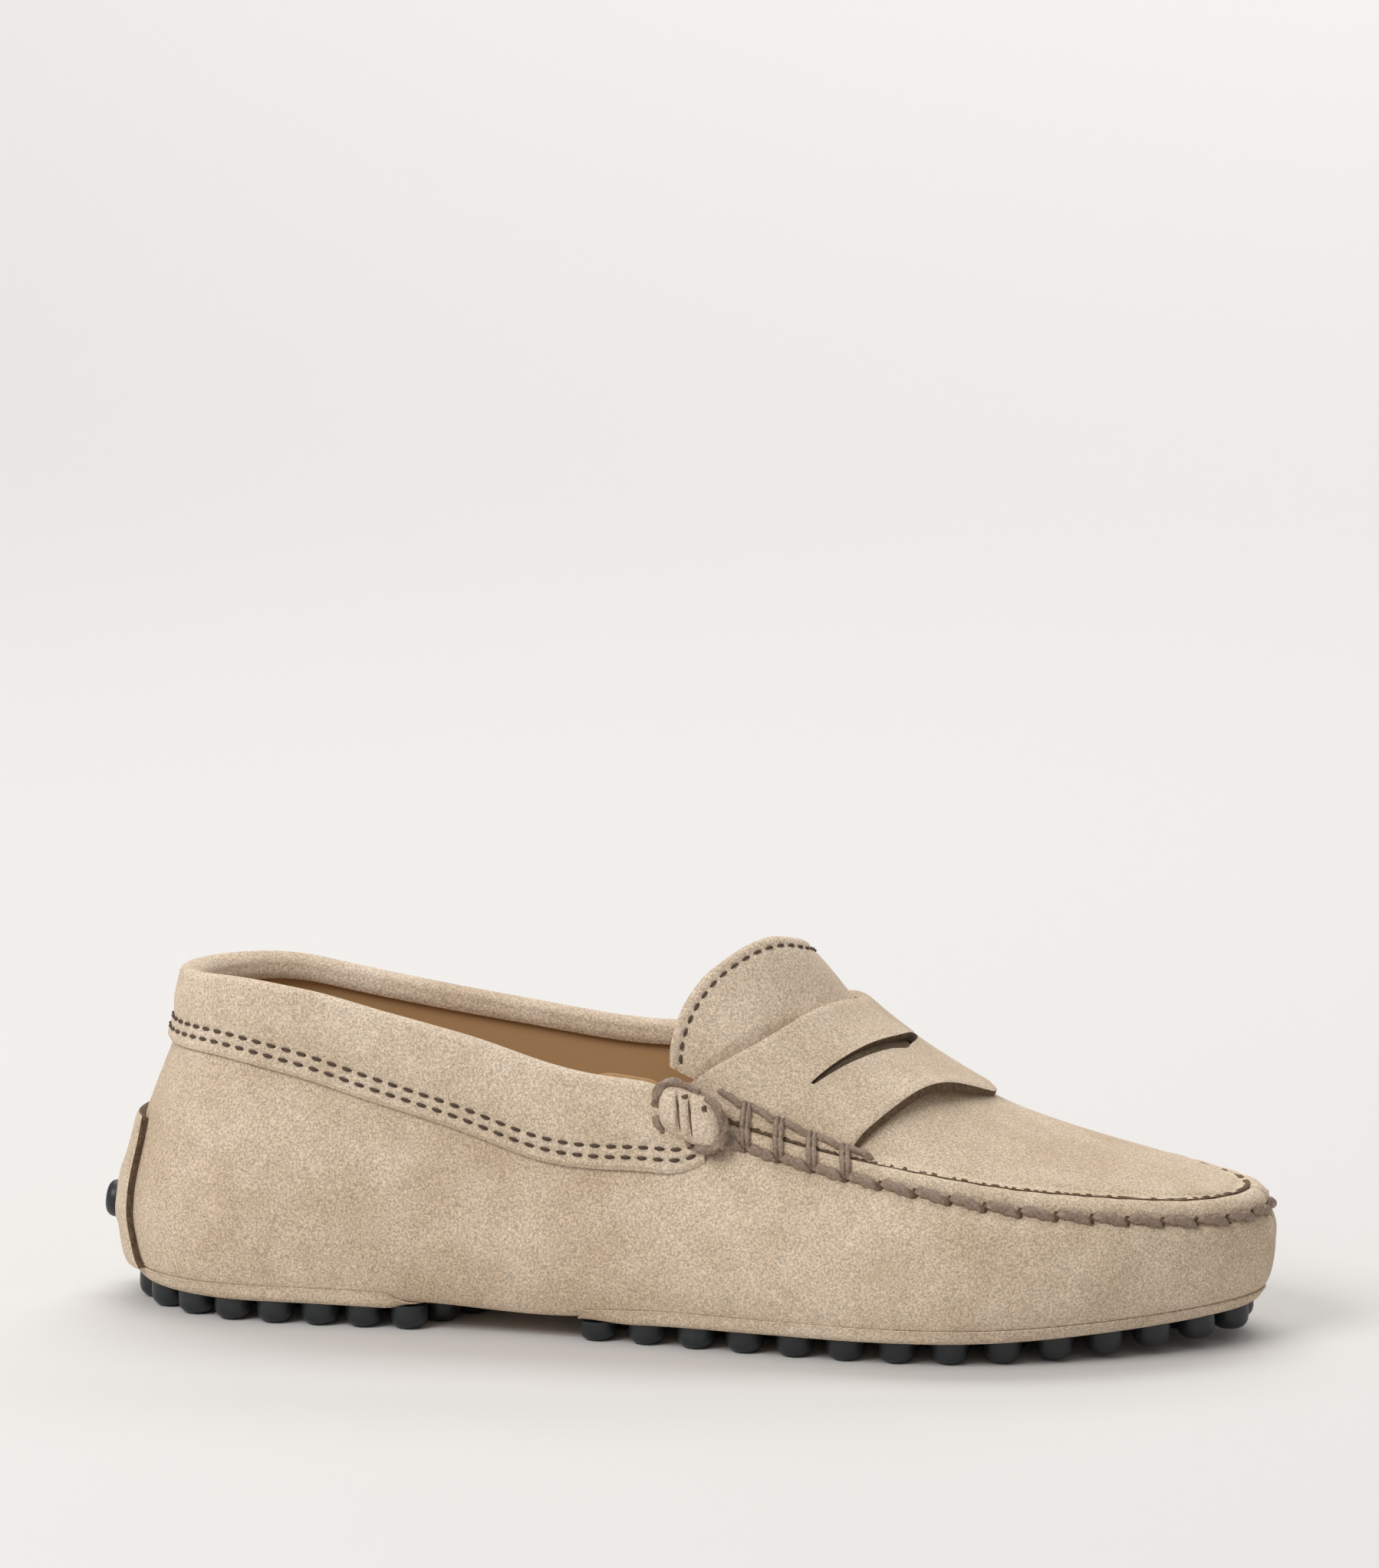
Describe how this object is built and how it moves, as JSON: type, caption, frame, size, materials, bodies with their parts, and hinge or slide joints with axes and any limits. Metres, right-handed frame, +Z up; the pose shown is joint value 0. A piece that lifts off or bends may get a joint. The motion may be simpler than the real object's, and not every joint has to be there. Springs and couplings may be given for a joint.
{
  "type": "driving moccasin",
  "caption": "Low suede driving moccasin with a penny strap, hand-sewn apron seam, padded collar band and a studded rubber sole, right foot.",
  "frame": {"origin": "on the floor under the middle of the shoe's length and breadth", "axes": "+X from heel to toe, +Y to the medial (inner) side of the right foot, +Z up"},
  "size_m": [0.253, 0.086, 0.0791],
  "materials": {
    "suede": "brushed sand-coloured suede with a soft mottled nap",
    "lining_leather": "smooth tan lining leather, satin",
    "rubber": "blue-black moulded rubber, satin",
    "waxed_thread": "twisted waxed taupe-brown thread"
  },
  "bodies": {
    "root": {"upper": "suede", "collar_band": "suede", "saddle_strap": "suede", "tongue": "suede", "seam_end_lateral": "suede", "seam_end_medial": "suede", "insole": "lining_leather", "heel_sole": "rubber", "forefoot_sole": "rubber", "heel_tab_rubber": "rubber", "heel_tab": "suede"}
  },
  "joints": []
}
